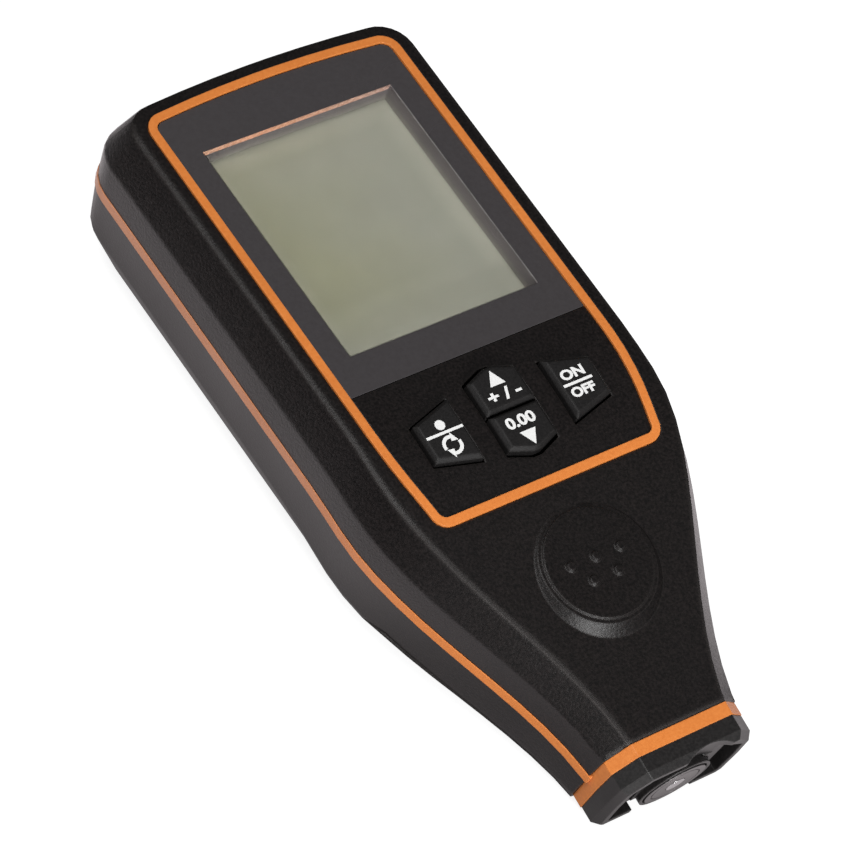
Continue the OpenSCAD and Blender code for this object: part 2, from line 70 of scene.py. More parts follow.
# Where the front's ridge is rounded more widely and painted with a stronger highlight; the first
# two are in the part's own frame, and CHIN_RISE is the chin's slope carried up to the part's
# origin
SHELL_END = -53.8
CHIN_RISE = 3.3
RIDGE_DEPTH = 2.6
RIDGE_OUT = 1.1
RIDGE_BELOW = 1.0
REST_CLEAR = 12.5


def z_front(y):
    """Height of the front face along its middle, flat above the bend and sloping below it."""
    if y > BEND_Y:
        return 0.0
    if y > BEND_Y - BEND_LEN:
        return -FRONT_SLOPE * (BEND_Y - y) ** 2 / (2 * BEND_LEN)
    return -FRONT_SLOPE * (BEND_LEN / 2 + BEND_Y - BEND_LEN - y)


PLACE = Matrix.Translation(Vector((0, SHIFT_Y, BODY_T)))
KEYS = (PLACE @ Matrix.Translation(Vector((0, KEY_Y, z_front(KEY_Y))))
        @ Matrix.Rotation(KEY_TILT, 4, "X"))


# Materials

MIX_FACTOR, MIX_A, MIX_B, MIX_RESULT = 0, 6, 7, 2
BEVEL_SAMPLES = 6
EDGE_FULL, EDGE_NONE = 0.75, 0.995


class Mat:
    """A node material with one principled shader and object coordinates in millimetres."""

    def __init__(self, name):
        self.mat = bpy.data.materials.new(name)
        self.mat.use_nodes = True
        self.tree = self.mat.node_tree
        self.tree.nodes.clear()
        self.out = self.node("ShaderNodeOutputMaterial")
        self.bsdf = self.node("ShaderNodeBsdfPrincipled")
        self.link(self.bsdf.outputs[0], self.out.inputs[0])
        coord = self.node("ShaderNodeTexCoord")
        scale = self.node("ShaderNodeVectorMath")
        scale.operation = "SCALE"
        scale.inputs["Scale"].default_value = 1 / MM
        self.link(coord.outputs["Object"], scale.inputs[0])
        self.co = scale.outputs[0]

    def node(self, kind):
        return self.tree.nodes.new(kind)

    def link(self, source, target):
        self.tree.links.new(source, target)

    def put(self, value, target):
        """Link a socket, or set a plain value."""
        if hasattr(value, "links"):
            self.link(value, target)
        else:
            target.default_value = value

    def feed(self, key, source):
        """Link a socket to the shader."""
        self.link(source, self.bsdf.inputs[key])

    def fix(self, key, value):
        """Set what is the same all over the surface."""
        self.bsdf.inputs[key].default_value = value

    def axes(self):
        sep = self.node("ShaderNodeSeparateXYZ")
        self.link(self.co, sep.inputs[0])
        return sep.outputs

    def noise(self, size, detail=3.0, rough=0.55):
        n = self.node("ShaderNodeTexNoise")
        n.inputs["Scale"].default_value = 1.0 / size
        n.inputs["Detail"].default_value = detail
        n.inputs["Roughness"].default_value = rough
        self.link(self.co, n.inputs["Vector"])
        return n.outputs["Fac"]

    def math(self, op, a, b=0.5, c=0.5):
        n = self.node("ShaderNodeMath")
        n.operation = op
        for k, value in enumerate((a, b, c)):
            self.put(value, n.inputs[k])
        return n.outputs[0]

    def ramp(self, fac, stops):
        n = self.node("ShaderNodeValToRGB")
        elements = n.color_ramp.elements
        while len(elements) < len(stops):
            elements.new(0.5)
        for k, (pos, colour) in enumerate(stops):
            elements[k].position = pos
            elements[k].color = tuple(colour) + (1.0,)
        self.link(fac, n.inputs[0])
        return n.outputs[0]

    def mix(self, fac, a, b):
        n = self.node("ShaderNodeMix")
        n.data_type = "RGBA"
        self.put(fac, n.inputs[MIX_FACTOR])
        for colour, slot in ((a, MIX_A), (b, MIX_B)):
            plain = not hasattr(colour, "links")
            self.put(tuple(colour) + (1.0,) if plain else colour, n.inputs[slot])
        return n.outputs[MIX_RESULT]

    def span(self, fac, to_min, to_max, from_min=0.25, from_max=0.75):
        n = self.node("ShaderNodeMapRange")
        self.link(fac, n.inputs["Value"])
        n.inputs["From Min"].default_value = from_min
        n.inputs["From Max"].default_value = from_max
        n.inputs["To Min"].default_value = to_min
        n.inputs["To Max"].default_value = to_max
        return n.outputs[0]

    def rounded(self, radius):
        """Normal rounded over edges; the radius is a number or a socket, in millimetres."""
        n = self.node("ShaderNodeBevel")
        n.samples = BEVEL_SAMPLES
        if hasattr(radius, "links"):
            self.link(self.math("MULTIPLY", radius, MM), n.inputs["Radius"])
        else:
            n.inputs["Radius"].default_value = radius * MM
        return n.outputs[0]

    def ridge_zone(self):
        """One along the ridge of the front face, zero everywhere else."""
        x, y, z = self.axes()
        chin = self.math("MINIMUM", self.math("MULTIPLY_ADD", y, FRONT_SLOPE, CHIN_RISE), 0.0)
        high = self.math("GREATER_THAN", self.math("SUBTRACT", z, chin), BODY_T - RIDGE_DEPTH)
        start = (SHIFT_Y + RING_TAPER_Y) / RING_TAPER_LEN
        taper = self.math("MULTIPLY_ADD", y, -1.0 / RING_TAPER_LEN, start)
        taper = self.math("MAXIMUM", taper, 0.0)
        inside = self.math("MULTIPLY_ADD", self.math("MULTIPLY", taper, taper), -RING_TAPER_IN,
                           RING_HW + RIDGE_OUT)
        beside = self.math("GREATER_THAN", self.math("ABSOLUTE", x), inside)
        top = SHIFT_Y + RING_BOT - RIDGE_BELOW
        below = self.math("COMPARE", y, (top + SHELL_END) / 2, (top - SHELL_END) / 2)
        rest = self.math("SUBTRACT", y, SHIFT_Y + REST_Y)
        reach = self.math("MULTIPLY_ADD", x, x, self.math("MULTIPLY", rest, rest))
        clear = self.math("GREATER_THAN", reach, REST_CLEAR ** 2)
        return self.math("MULTIPLY", self.math("MAXIMUM", beside, below),
                         self.math("MULTIPLY", high, clear))

    def edge(self, normal):
        """One where the rounded normal turns away from the face, zero on the flat."""
        g = self.node("ShaderNodeNewGeometry")
        d = self.node("ShaderNodeVectorMath")
        d.operation = "DOT_PRODUCT"
        self.link(normal, d.inputs[0])
        self.link(g.outputs["Normal"], d.inputs[1])
        return self.span(d.outputs["Value"], 1.0, 0.0, EDGE_FULL, EDGE_NONE)

    def bump(self, height, strength, depth, normal=None):
        n = self.node("ShaderNodeBump")
        n.inputs["Strength"].default_value = strength
        n.inputs["Distance"].default_value = depth * MM
        self.link(height, n.inputs["Height"])
        if normal is not None:
            self.link(normal, n.inputs["Normal"])
        self.feed("Normal", n.outputs[0])


def toned(colour, share):
    return [share * c for c in colour]


# Moulded plastic: the grain's ramp, broad patches, the paler band, the ridge's painted highlight
# and the sheen
GRAIN_DARK, GRAIN_LIGHT = 0.38, 0.66
GRAIN_DEPTH = 0.22
PATCH_SIZE, PATCH_SHARE, PATCH_TONE = 14.0, 0.35, 0.75
PALE_BAND_FROM, PALE_BAND_TO, PALE_BAND_SHARE = -25.0, 5.0, 0.9
RIDGE_HIGHLIGHT_GAIN = 5.0
SHEEN_FINE, SHEEN_BROAD = 0.6, 0.4


def moulded(name, dark, light, rough, grain, bump, edge_highlight, edge_r, highlight_amt, spec=0.4,
            pale_band=None, ridge=0.0):
    """Moulded plastic with speckled grain, uneven sheen and a painted highlight along its edges.

    A paler band colour, if given, grows toward the display end; ridge is a wider rounding along
    the front's ridge, with a stronger painted highlight there.
    """
    m = Mat(name)
    fine = m.noise(grain, 4.0, 0.6)
    broad = m.noise(PATCH_SIZE)
    base = m.ramp(fine, [(GRAIN_DARK, dark), (GRAIN_LIGHT, light)])
    # A paler tone toward the display end
    if pale_band:
        base = m.mix(m.span(m.axes()[1], 0.0, PALE_BAND_SHARE, PALE_BAND_FROM, PALE_BAND_TO), base, pale_band)
    base = m.mix(m.span(broad, 0.0, PATCH_SHARE), base, toned(dark, PATCH_TONE))
    if ridge:
        # Along the ridge: a wider rounding, and a stronger painted highlight
        zone = m.ridge_zone()
        edge_r = m.math("MULTIPLY_ADD", zone, ridge - edge_r, edge_r)
        highlight_amt = m.math("MULTIPLY_ADD", zone, RIDGE_HIGHLIGHT_GAIN * highlight_amt, highlight_amt)
    soft = m.rounded(edge_r)
    # Painted highlight: the base colour turns toward the edge colour where the rounded normal
    # leaves the face
    painted_shine = m.math("MINIMUM", m.math("MULTIPLY", m.edge(soft), highlight_amt), 1.0)
    m.feed("Base Color", m.mix(painted_shine, base, edge_highlight))
    sheen = m.math("ADD", m.math("MULTIPLY", fine, SHEEN_FINE),
                   m.math("MULTIPLY", broad, SHEEN_BROAD))
    m.feed("Roughness", m.span(sheen, *rough))
    m.bump(fine, bump, grain * GRAIN_DEPTH, soft)
    m.fix("Specular IOR Level", spec)
    return m.mat


# Metal: size of its scratches and stains, and how they show
SCRATCH_SIZE, SCRATCH_BUMP, SCRATCH_DEPTH = 0.25, 0.15, 0.02
STAIN_SIZE, STAIN_SHARE, STAIN_TONE = 3.0, 0.4, 0.8
METAL_EDGE_R = 0.08


def metal(name, dark, light, rough, brush=None):
    """Metal with fine scratches along one axis, or all round when brush is None."""
    m = Mat(name)
    if brush:
        stretch = m.node("ShaderNodeMapping")
        stretch.inputs["Scale"].default_value = brush
        m.link(m.co, stretch.inputs["Vector"])
        m.co = stretch.outputs[0]
    fine = m.noise(SCRATCH_SIZE, 4.0, 0.6)
    broad = m.noise(STAIN_SIZE)
    base = m.ramp(fine, [(0.3, dark), (0.7, light)])
    stain = m.span(broad, 0.0, STAIN_SHARE)
    m.feed("Base Color", m.mix(stain, base, toned(dark, STAIN_TONE)))
    m.feed("Roughness", m.span(fine, *rough))
    m.bump(fine, SCRATCH_BUMP, SCRATCH_DEPTH, m.rounded(METAL_EDGE_R))
    m.fix("Metallic", 1.0)
    return m.mat


ORANGE_DARK, ORANGE_LIGHT = (0.79, 0.235, 0.046), (0.87, 0.28, 0.06)

black = moulded(
    "shell_black_grain", dark=(0.0016, 0.0008, 0.0007), light=(0.0125, 0.0088, 0.0083),
    rough=(0.34, 0.48), grain=0.42, bump=0.7,
    edge_highlight=(0.045, 0.039, 0.037), edge_r=0.4, highlight_amt=0.6, spec=0.42, ridge=1.4)
nose_black = moulded(
    "nose_black_satin", dark=(0.010, 0.009, 0.009), light=(0.022, 0.02, 0.0195),
    rough=(0.34, 0.5), grain=0.4, bump=0.22,
    edge_highlight=(0.085, 0.08, 0.078), edge_r=0.3, highlight_amt=0.75, spec=0.45)
key_black = moulded(
    "key_black_matt", dark=(0.0065, 0.0058, 0.0058), light=(0.0145, 0.013, 0.013),
    rough=(0.48, 0.64), grain=0.3, bump=0.5,
    edge_highlight=(0.05, 0.046, 0.045), edge_r=0.5, highlight_amt=0.45, spec=0.35)
orange = moulded(
    "trim_orange_satin", dark=ORANGE_DARK, light=ORANGE_LIGHT,
    rough=(0.36, 0.5), grain=0.5, bump=0.12,
    edge_highlight=(0.9, 0.35, 0.1), edge_r=0.2, highlight_amt=0.5)
trim_orange = moulded(
    "trim_orange_band", dark=ORANGE_DARK, light=ORANGE_LIGHT,
    rough=(0.36, 0.5), grain=0.5, bump=0.12,
    edge_highlight=(0.85, 0.35, 0.14), edge_r=0.2, highlight_amt=0.3, pale_band=(0.70, 0.31, 0.175))
white_plastic = moulded(
    "white_moulding", dark=(0.66, 0.64, 0.60), light=(0.75, 0.73, 0.69),
    rough=(0.4, 0.55), grain=0.5, bump=0.15,
    edge_highlight=(0.8, 0.78, 0.75), edge_r=0.2, highlight_amt=0.3)
chip_black = moulded(
    "chip_epoxy", dark=(0.012, 0.012, 0.013), light=(0.025, 0.025, 0.027),
    rough=(0.45, 0.6), grain=0.2, bump=0.25,
    edge_highlight=(0.05, 0.05, 0.05), edge_r=0.1, highlight_amt=0.4)
zebra = moulded(
    "zebra_rubber", dark=(0.42, 0.33, 0.25), light=(0.56, 0.47, 0.38),
    rough=(0.55, 0.7), grain=0.3, bump=0.2,
    edge_highlight=(0.6, 0.5, 0.42), edge_r=0.1, highlight_amt=0.2)
wire_red = moulded(
    "wire_red", dark=(0.36, 0.03, 0.025), light=(0.46, 0.05, 0.04),
    rough=(0.35, 0.5), grain=0.4, bump=0.1,
    edge_highlight=(0.5, 0.1, 0.08), edge_r=0.1, highlight_amt=0.2)
# Painted highlight: the pale line down the window's right side
side_highlight = moulded(
    "window_side_painted_highlight", dark=(0.2, 0.185, 0.195), light=(0.25, 0.235, 0.245),
    rough=(0.3, 0.45), grain=0.4, bump=0.1,
    edge_highlight=(0.3, 0.28, 0.29), edge_r=0.05, highlight_amt=0.2)
tin = metal("tin_plate", dark=(0.52, 0.53, 0.55), light=(0.66, 0.67, 0.69), rough=(0.22, 0.38))
nickel = metal("nickel_wire", dark=(0.6, 0.6, 0.6), light=(0.74, 0.74, 0.73), rough=(0.15, 0.3))
copper = metal("copper_winding", dark=(0.55, 0.22, 0.08), light=(0.75, 0.36, 0.16),
               rough=(0.25, 0.4), brush=(0.2, 6.0, 0.2))
ground = metal("ground_metal", dark=(0.14, 0.136, 0.136), light=(0.23, 0.223, 0.223),
               rough=(0.34, 0.5))
bright = metal("bright_tip", dark=(0.6, 0.6, 0.61), light=(0.76, 0.76, 0.77), rough=(0.16, 0.28))


def board_material():
    """Green board with paler traces and dull patches."""
    mask, trace_green, patch = (0.02, 0.11, 0.045), (0.035, 0.19, 0.08), (0.015, 0.08, 0.035)
    m = Mat("board_green")
    trace = m.node("ShaderNodeTexBrick")
    trace.inputs["Scale"].default_value = 0.35
    trace.inputs["Mortar Size"].default_value = 0.06
    m.link(m.co, trace.inputs["Vector"])
    base = m.mix(trace.outputs["Fac"], mask, trace_green)
    m.feed("Base Color", m.mix(m.span(m.noise(4.0), 0.0, 0.3), base, patch))
    m.feed("Roughness", m.span(m.noise(1.2), 0.28, 0.42))
    m.bump(trace.outputs["Fac"], 0.3, 0.04)
    return m.mat


def cell_material():
    """Dark wrap along the cells, gold toward both ends."""
    wrap_half = 16.0
    m = Mat("cell_wrap")
    along = m.math("SUBTRACT", m.axes()[1], SHIFT_Y + CELL_Y)
    cap = m.math("GREATER_THAN", m.math("ABSOLUTE", along), wrap_half)
    fine = m.noise(0.8, 4.0)
    wrap = m.ramp(fine, [(0.3, (0.03, 0.03, 0.034)), (0.7, (0.045, 0.045, 0.05))])
    gold = m.ramp(fine, [(0.3, (0.55, 0.36, 0.12)), (0.7, (0.66, 0.45, 0.17))])
    m.feed("Base Color", m.mix(cap, wrap, gold))
    m.feed("Roughness", m.span(fine, 0.26, 0.4))
    m.bump(fine, 0.1, 0.03)
    return m.mat


def lcd_material():
    """Reflective display: grey-green, with painted light toward its edges and lower end, where
    the window's walls shade it, and a dark rim.
    """
    green, grey, speck = (0.212, 0.21, 0.142), (0.23, 0.23, 0.19), (0.27, 0.27, 0.22)
    edge_painted_light, low_painted_light, rim_dark = (0.34, 0.34, 0.28), (0.37, 0.37, 0.305), (0.17, 0.155, 0.145)
    rim_in, low_reach, side_tilt = 0.4, 10.0, 0.03
    m = Mat("display_grey_green")
    x, y, _ = m.axes()
    fine = m.noise(0.5, 2.0)
    across = m.math("MULTIPLY_ADD", x, side_tilt, m.noise(26.0, 2.0))
    base = m.ramp(across, [(0.15, green), (0.85, grey)])
    side = m.math("SUBTRACT", m.math("ABSOLUTE", x), LCD_W / 2 - rim_in)
    middle = m.math("ABSOLUTE", m.math("SUBTRACT", y, SHIFT_Y))
    outward = m.math("MAXIMUM", side, m.math("SUBTRACT", middle, LCD_H / 2 - rim_in))
    # Painted light toward the edges and the lower end, against the shade of the window's walls
    base = m.mix(m.span(outward, 0.0, 0.5, -3.4, 0.2), base, edge_painted_light)
    low = m.math("SUBTRACT", SHIFT_Y - LCD_H / 2, y)
    base = m.mix(m.span(low, 0.0, 0.75, -low_reach, 0.0), base, low_painted_light)
    base = m.mix(m.span(outward, 0.0, 0.5, -0.2, 0.4), base, rim_dark)
    m.feed("Base Color", m.mix(m.span(fine, 0.0, 0.1), base, speck))
    m.feed("Roughness", m.span(fine, 0.3, 0.36))
    m.bump(fine, 0.05, 0.02)
    return m.mat


def lens_border_material():
    """Smooth printed overlay, dark grey, with a faint dust speckle and a painted highlight along
    its edges.
    """
    dark, light, edge_highlight_grey = (0.054, 0.0485, 0.0505), (0.061, 0.0555, 0.058), (0.07, 0.065, 0.07)
    m = Mat("lens_overlay_grey")
    fine = m.noise(0.6)
    base = m.ramp(fine, [(0.3, dark), (0.7, light)])
    soft = m.rounded(0.15)
    m.feed("Base Color", m.mix(m.math("MULTIPLY", m.edge(soft), 0.5), base, edge_highlight_grey))
    m.feed("Roughness", m.span(m.noise(30.0, 2.0), 0.2, 0.3))
    m.bump(fine, 0.03, 0.02, soft)
    m.fix("Specular IOR Level", 0.55)
    return m.mat


WHITE_DULL, WHITE_CLEAN = (0.93, 0.93, 0.92), (0.98, 0.98, 0.97)


def window_material():
    """Clear plastic that lets light fall on the display under it."""
    m = Mat("window_clear")
    fine = m.noise(8.0, 2.0)
    m.feed("Base Color", m.ramp(fine, [(0.2, WHITE_DULL), (0.8, WHITE_CLEAN)]))
    m.feed("Roughness", m.span(fine, 0.015, 0.05))
    m.fix("Transmission Weight", 1.0)
    m.fix("IOR", 1.49)
    clear = m.node("ShaderNodeBsdfTransparent")
    rays = m.node("ShaderNodeLightPath")
    either = m.node("ShaderNodeMixShader")
    m.link(rays.outputs["Is Shadow Ray"], either.inputs[0])
    m.link(m.bsdf.outputs[0], either.inputs[1])
    m.link(clear.outputs[0], either.inputs[2])
    m.link(either.outputs[0], m.out.inputs[0])
    return m.mat


def legend_material():
    """White print with a slightly uneven surface."""
    m = Mat("legend_white")
    fine = m.noise(0.35)
    m.feed("Base Color", m.ramp(fine, [(0.25, WHITE_DULL), (0.7, WHITE_CLEAN)]))
    m.feed("Roughness", m.span(fine, 0.45, 0.6))
    m.bump(fine, 0.1, 0.03)
    return m.mat


def ring_reflection_material():
    """Polished cut edge of the window, with a painted highlight and a painted reflection of the
    coloured ring beside it.
    """
    reflection_tints = [(0.0, (0.62, 0.33, 0.22)), (0.35, (0.6, 0.27, 0.16)),
             (0.7, (0.5, 0.27, 0.19)), (1.0, (0.42, 0.27, 0.23))]
    dull_reflection = (0.42, 0.24, 0.17)
    m = Mat("window_edge_painted_reflection")
    base = m.ramp(m.span(m.axes()[0], 0.0, 1.0, -LCD_W / 2, LCD_W / 2), reflection_tints)
    m.feed("Base Color", m.mix(m.span(m.noise(2.0), 0.0, 0.3), base, dull_reflection))
    m.feed("Roughness", m.span(m.noise(0.6), 0.2, 0.35))
    return m.mat


LINER_TOP = -0.3


def liner_material():
    """Wall between window and display: painted shade at the top, and painted light in the
    display's tone lower down.
    """
    painted_shade_tones = [(0.0, (0.2, 0.19, 0.165)), (0.4, (0.12, 0.108, 0.107)), (1.0, (0.085, 0.072, 0.077))]
    speck = (0.1, 0.09, 0.09)
    m = Mat("window_liner_grey")
    height = m.span(m.axes()[2], 0.0, 1.0, BODY_T - LCD_DEPTH, BODY_T + LINER_TOP)
    fine = m.noise(0.4)
    m.feed("Base Color", m.mix(m.span(fine, 0.0, 0.2), m.ramp(height, painted_shade_tones), speck))
    m.feed("Roughness", m.span(fine, 0.5, 0.65))
    m.fix("Specular IOR Level", 0.3)
    return m.mat


lens_border_mat = lens_border_material()
window_mat = window_material()
legend_mat = legend_material()
ring_reflection_mat = ring_reflection_material()
liner_mat = liner_material()

LOOKS = {
    "front_shell": black, "rear_shell": black, "battery_door": black,
    "trim_frame": trim_orange, "face_ring": orange,
    "lens": lens_border_mat, "lcd_glass": lcd_material(), "lcd_holder": white_plastic,
    "zebra_strips": zebra, "main_pcb": board_material(), "tact_switches": tin,
    "key_record": key_black, "key_set": key_black, "key_up": key_black, "key_down": key_black,
    "mcu_chip": chip_black, "analog_chip": chip_black, "buzzer": chip_black,
    "probe_plug": white_plastic, "pcb_screws": tin, "case_screws": tin,
    "battery_cells": cell_material(), "contact_springs": nickel, "contact_plates": nickel,
    "nose_cap": nose_black, "probe_sleeve": nose_black, "probe_head": nose_black,
    "probe_coil": copper, "probe_core": bright, "probe_face": ground,
    "probe_spring": nickel, "probe_leads": wire_red,
}


# Smooth shading that leaves the solids' points alone

SMOOTH_ANGLE = 33.0
SAME_POINT = 2e-6


def smooth_group(name):
    """Node group that shades smooth across every edge flatter than SMOOTH_ANGLE."""
    g = bpy.data.node_groups.new(name, "GeometryNodeTree")
    for way in ("INPUT", "OUTPUT"):
        g.interface.new_socket(name="Geometry", in_out=way, socket_type="NodeSocketGeometry")
    merge = g.nodes.new("GeometryNodeMergeByDistance")
    merge.inputs["Distance"].default_value = SAME_POINT
    drop = g.nodes.new("GeometryNodeRemoveAttribute")
    drop.inputs["Name"].default_value = "custom_normal"
    faces = g.nodes.new("GeometryNodeSetShadeSmooth")
    faces.domain = "FACE"
    edges = g.nodes.new("GeometryNodeSetShadeSmooth")
    edges.domain = "EDGE"
    turn = g.nodes.new("GeometryNodeInputMeshEdgeAngle")
    less = g.nodes.new("FunctionNodeCompare")
    less.data_type = "FLOAT"
    less.operation = "LESS_THAN"
    less.inputs[1].default_value = math.radians(SMOOTH_ANGLE)
    g.links.new(turn.outputs["Unsigned Angle"], less.inputs[0])
    g.links.new(less.outputs[0], edges.inputs["Shade Smooth"])
    socket = g.nodes.new("NodeGroupInput").outputs[0]
    for step in (merge, drop, faces, edges):
        g.links.new(socket, step.inputs["Geometry"])
        socket = step.outputs[0]
    g.links.new(socket, g.nodes.new("NodeGroupOutput").inputs[0])
    return g


smooth = smooth_group("smooth_by_angle")


def add_smooth(obj):
    mod = obj.modifiers.new("smooth", "NODES")
    mod.node_group = smooth
    mod = obj.modifiers.new("flat_faces", "WEIGHTED_NORMAL")
    mod.mode = "FACE_AREA_WITH_ANGLE"
    mod.keep_sharp = True


for name, obj in nodes.items():
    obj.data.materials.clear()
    obj.data.materials.append(LOOKS[name])
    add_smooth(obj)


# Flat pieces cut from outlines, in millimetres

DOUBLE_POINT = 1e-6


def curve_mesh(name, curve):
    """Mesh of a curve, which is then removed."""
    tmp = bpy.data.objects.new(name + "_tmp", curve)
    bpy.context.scene.collection.objects.link(tmp)
    bpy.context.view_layer.update()
    shaped = tmp.evaluated_get(bpy.context.evaluated_depsgraph_get())
    mesh = bpy.data.meshes.new_from_object(shaped)
    bpy.data.objects.remove(tmp)
    bpy.data.curves.remove(curve)
    mesh.name = name
    return mesh


def finish_piece(name, mesh, mat, body):
    bm = bmesh.new()
    bm.from_mesh(mesh)
    bmesh.ops.remove_doubles(bm, verts=bm.verts, dist=DOUBLE_POINT)
    bmesh.ops.recalc_face_normals(bm, faces=bm.faces)
    bm.to_mesh(mesh)
    bm.free()
    mesh.materials.clear()
    mesh.materials.append(mat)
    obj = bpy.data.objects.new(name, mesh)
    bpy.context.scene.collection.objects.link(obj)
    add_smooth(obj)
    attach(obj, body)
    return obj


def flat_piece(name, loops, low, high, mat, matrix, body):
    """Plate between two heights; the first loop is its edge and the rest are holes."""
    curve = bpy.data.curves.new(name + "_outline", "CURVE")
    curve.dimensions = "2D"
    curve.fill_mode = "BOTH"
    curve.extrude = (high - low) / 2
    for loop in loops:
        s = curve.splines.new("POLY")
        s.points.add(len(loop) - 1)
        for p, (x, y) in zip(s.points, loop):
            p.co = (x, y, 0, 1)
        s.use_cyclic_u = True
    mesh = curve_mesh(name, curve)
    mesh.transform(Matrix.Translation(Vector((0, 0, (low + high) / 2))))
    mesh.transform(Matrix.Scale(MM, 4) @ matrix)
    return finish_piece(name, mesh, mat, body)


def ring_side(y):
    return RING_HW - RING_TAPER_IN * max(0.0, (RING_TAPER_Y - y) / RING_TAPER_LEN) ** 2


def polar(centre, radius, degrees):
    a = math.radians(degrees)
    return centre[0] + radius * math.cos(a), centre[1] + radius * math.sin(a)


def lens_loop(inset):
    """Edge of the lens: inside of the coloured ring, cut straight along its lower side."""
    top_steps, corner_steps = 8, 12
    flat = RING_HW - RING_R
    right = []
    for k in range(top_steps + 1):
        x = flat * k / top_steps
        right.append((x, RING_TOP - inset - RING_CROWN * (x / RING_HW) ** 2))
    for k in range(1, corner_steps + 1):
        right.append(polar((flat, RING_CORNER_Y), RING_R - inset, 90 - 90 * k / corner_steps))
    low = LENS_Y + inset - RING_W
    right.append((ring_side(low) - inset, low))
    return right + [(-x, y) for x, y in reversed(right[1:])]


def round_rect(w, h, r):
    corner_steps = 5
    x, y = w / 2 - r, h / 2 - r
    pts = []
    for centre, start in (((x, y), 0), ((-x, y), 90), ((-x, -y), 180), ((x, -y), 270)):
        for k in range(corner_steps + 1):
            pts.append(polar(centre, r, start + 90 * k / corner_steps))
    return pts


def window_rect(inset, r):
    """Opening of the window, made smaller by inset in all."""
    return round_rect(LCD_W - inset, LCD_H - inset, r)


def bar(centre, w, h):
    left, right = centre[0] - w / 2, centre[0] + w / 2
    low, high = centre[1] - h / 2, centre[1] + h / 2
    return [(left, low), (right, low), (right, high), (left, high)]


# Lens: overlay round the window, the clear window, its wall with painted shade and light, and two
# edges with painted light

CORNER_R, LINER_CORNER_R = 0.25, 0.22
WINDOW_INSET, WINDOW_LOW, WINDOW_HIGH = 0.24, -0.14, -0.04
LINER_OUT, LINER_IN, LINER_FOOT = 0.01, 0.09, 0.05
LINE_IN, LINE_W, LINE_HIGH = 0.07, 0.04, -0.03
TOP_LINE_LOW, SIDE_LINE_LOW = -1.0, -0.24
SIDE_LINE_Y, SIDE_LINE_CUT = -0.1, 0.3


def lens_piece(name, loops, low, high, mat):
    return flat_piece(name, loops, low, high, mat, PLACE, "case")


border = lens_piece("lens_border", [lens_loop(RING_W + LENS_GAP), window_rect(0, CORNER_R)],
                    -LENS_T, 0.0, lens_border_mat)
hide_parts("lens")
lens_piece("lens_window", [window_rect(WINDOW_INSET, CORNER_R)],
           WINDOW_LOW, WINDOW_HIGH, window_mat)
lens_piece("window_liner",
           [window_rect(LINER_OUT, CORNER_R), window_rect(LINER_IN, LINER_CORNER_R)],
           -LCD_DEPTH + LINER_FOOT, LINER_TOP, liner_mat)
# Thin strips that carry painted light: the ring's reflection along the top edge, a highlight down
# the right side
lens_piece("window_edge_top", [bar((0, LCD_H / 2 - LINE_IN), LCD_W - 2 * LINE_IN, LINE_W)],
           TOP_LINE_LOW, LINE_HIGH, ring_reflection_mat)
lens_piece("window_edge_side",
           [bar((LCD_W / 2 - LINE_IN, SIDE_LINE_Y), LINE_W, LCD_H - SIDE_LINE_CUT)],
           SIDE_LINE_LOW, LINE_HIGH, side_highlight)


# Key legends: plain signs, numbers and an on-off pair, from the middle of the four keys

LEGEND_Z = KEY_RISE + 0.002
LEGEND_T = 0.022
LEGEND_BOLD = 0.09
LEGEND_CURVE_STEPS = 6
RULE_T = 0.42
UP_SIGN_AT, UP_SIGN_W, UP_SIGN_H = (-0.1, 5.03), 2.6, 2.4
UP_MARK_AT, UP_MARK_SIZE, UP_MARK_WIDE = (0, 2.2), 2.5, 1.3
DOWN_MARK_AT, DOWN_MARK_SIZE, DOWN_MARK_WIDE = (-0.2, -2.3), 2.35, 1.2
DOWN_SIGN_AT, DOWN_SIGN_W, DOWN_SIGN_H = (-0.1, -5.12), 2.7, -2.4
ON_AT, ON_SIZE, ON_WIDE = (11.3, 1.27), 2.1, 1.2
ON_RULE_AT, ON_RULE_W = (11.33, -0.15), 5.0
OFF_AT, OFF_SIZE, OFF_WIDE = (11.35, -1.65), 2.0, 1.15
DOT_AT, DOT_R = (-11.7, 1.55), 0.78
DOT_RULE_AT, DOT_RULE_W = (-11.65, 0.3), 6.2
CYCLE_AT, CYCLE_R, CYCLE_T = (-11.63, -1.82), 1.3, 0.52
CYCLE_SWEEP, CYCLE_HEAD, CYCLE_BARB = 120, 55, 1.35


def legend_shape(name, loop, body):
    return flat_piece(name, [loop], LEGEND_Z, LEGEND_Z + LEGEND_T, legend_mat, KEYS, body)


def legend_word(name, word, centre, size, wide, body):
    curve = bpy.data.curves.new(name + "_text", "FONT")
    curve.body = word
    curve.size = size
    curve.align_x = "CENTER"
    curve.align_y = "CENTER"
    curve.extrude = LEGEND_T / 2
    curve.offset = LEGEND_BOLD
    curve.resolution_u = LEGEND_CURVE_STEPS
    mesh = curve_mesh(name, curve)
    mesh.transform(Matrix.Diagonal((wide, 1.0, 1.0, 1.0)))
    mesh.transform(Matrix.Translation(Vector((centre[0], centre[1], LEGEND_Z + LEGEND_T / 2))))
    mesh.transform(Matrix.Scale(MM, 4) @ KEYS)
    return finish_piece(name, mesh, legend_mat, body)


def triangle(centre, w, h):
    """Upward sign, or a downward one where h is negative."""
    cx, cy = centre
    return [(cx - w / 2, cy - h / 2), (cx + w / 2, cy - h / 2), (cx, cy + h / 2)]


def disc(centre, r):
    steps = 24
    return [polar(centre, r, 360 * k / steps) for k in range(steps)]


